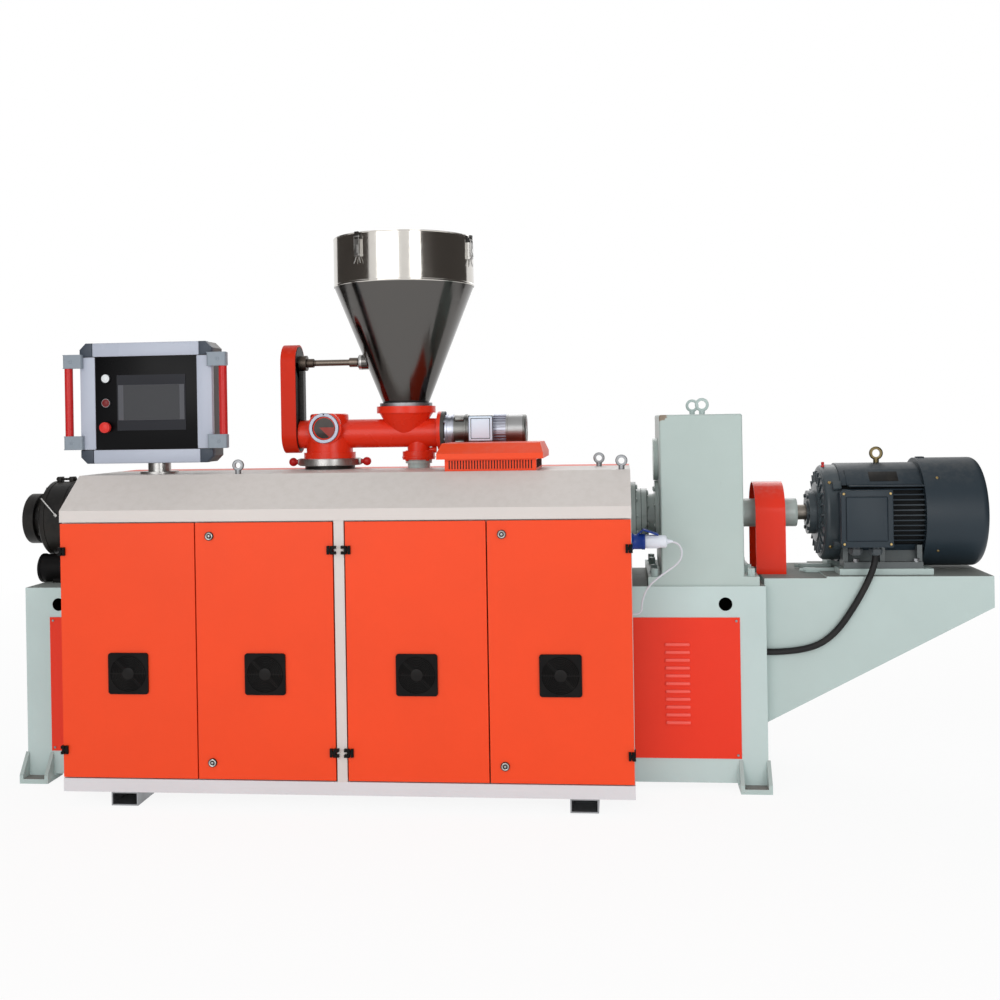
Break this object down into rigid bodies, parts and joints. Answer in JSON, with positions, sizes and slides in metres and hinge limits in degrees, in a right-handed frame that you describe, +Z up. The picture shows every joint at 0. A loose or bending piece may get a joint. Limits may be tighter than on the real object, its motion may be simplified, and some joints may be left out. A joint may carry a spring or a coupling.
{
  "type": "plastic extruder",
  "caption": "Conical twin-screw plastic extruder: hopper and feeder over a hooded barrel, hinged control cabinet, swivelling control panel, gearbox and motor on a welded frame.",
  "frame": {"origin": "on the floor under the middle of the machine's bounding box", "axes": "+X along the machine from the die end to the motor, +Y from the doors to the rear, +Z up"},
  "size_m": [3.779, 0.929, 2.107],
  "materials": {
    "frame_paint": "satin",
    "orange_paint": "satin",
    "red_panel_paint": "satin",
    "beige_paint": "satin",
    "motor_paint": "satin",
    "dark_steel": "satin",
    "black_plastic": "matte",
    "panel_frame": "satin",
    "screen": "gloss",
    "button_red": "gloss",
    "handle_red": "gloss",
    "stainless": "polished",
    "bright_steel": "satin",
    "casting_paint": "gloss",
    "geared_motor": "satin",
    "glass": "gloss",
    "cable_rubber": "matte",
    "cord_grey": "matte",
    "plug_blue": "gloss",
    "galvanised": "matte"
  },
  "bodies": {
    "machine": {"barrel": "dark_steel", "barrel_head": "dark_steel", "barrel_supports": "frame_paint", "blower": "black_plastic", "cabinet_back": "beige_paint", "cabinet_feet": "galvanised", "cabinet_mullion": "beige_paint", "cabinet_plinth": "beige_paint", "cabinet_sides": "beige_paint", "cabinet_top": "beige_paint", "chain_guard": "casting_paint", "clamp_ring": "bright_steel", "coupling_guard": "orange_paint", "die_flange": "dark_steel", "feeder_body": "casting_paint", "feeder_motor": "geared_motor", "feeder_supports": "dark_steel", "frame_base": "frame_paint", "frame_feet": "frame_paint", "frame_panels": "red_panel_paint", "gearbox_covers": "frame_paint", "gearbox_housing": "frame_paint", "hinge_brackets": "black_plastic", "hood_front": "beige_paint", "hood_top": "beige_paint", "hopper_band": "stainless", "hopper_cone": "stainless", "hopper_latches": "bright_steel", "lifting_eyes": "frame_paint", "motor_body": "motor_paint", "motor_bracket": "frame_paint", "motor_cable": "cable_rubber", "motor_cowl": "motor_paint", "motor_feet": "motor_paint", "motor_terminal_box": "motor_paint", "panel_post": "stainless", "plug_cord": "cord_grey", "rear_cover_back": "orange_paint", "rear_cover_top": "orange_paint", "sight_glass": "glass", "socket_plug": "plug_blue", "vent_hood": "orange_paint"},
    "door_1": {"door_1": "orange_paint", "door_1_fittings": "black_plastic"},
    "door_2": {"door_2": "orange_paint", "door_2_fittings": "black_plastic"},
    "door_3": {"door_3": "orange_paint", "door_3_fittings": "black_plastic"},
    "door_4": {"door_4": "orange_paint", "door_4_fittings": "black_plastic"},
    "panel": {"panel_case": "panel_frame", "touch_screen": "screen", "panel_buttons": "button_red", "panel_handles": "handle_red"},
    "coupling": {"drive_coupling": "bright_steel"},
    "stirrer": {"stirrer_shaft": "bright_steel"}
  },
  "joints": [
    {"name": "door_1_hinge", "type": "hinge", "parent": "machine", "child": "door_1", "pos_m": [-1.4955, -0.459, 0.564], "axis": [0, 0, -1], "range_deg": [0, 90]},
    {"name": "door_2_hinge", "type": "hinge", "parent": "machine", "child": "door_2", "pos_m": [-0.4895, -0.459, 0.564], "axis": [0, 0, 1], "range_deg": [0, 90]},
    {"name": "door_3_hinge", "type": "hinge", "parent": "machine", "child": "door_3", "pos_m": [-0.4385, -0.459, 0.564], "axis": [0, 0, -1], "range_deg": [0, 90]},
    {"name": "door_4_hinge", "type": "hinge", "parent": "machine", "child": "door_4", "pos_m": [0.5675, -0.459, 0.564], "axis": [0, 0, 1], "range_deg": [0, 90]},
    {"name": "panel_swivel", "type": "hinge", "parent": "machine", "child": "panel", "pos_m": [-1.2405, -0.1405, 1.235], "axis": [0, 0, 1], "range_deg": [-60, 60]},
    {"name": "coupling_spin", "type": "hinge", "parent": "machine", "child": "coupling", "pos_m": [1.1495, 0.1275, 1], "axis": [1, 0, 0], "continuous": true},
    {"name": "stirrer_spin", "type": "hinge", "parent": "machine", "child": "stirrer", "pos_m": [-0.4005, 0.1275, 1.62], "axis": [1, 0, 0], "continuous": true}
  ]
}
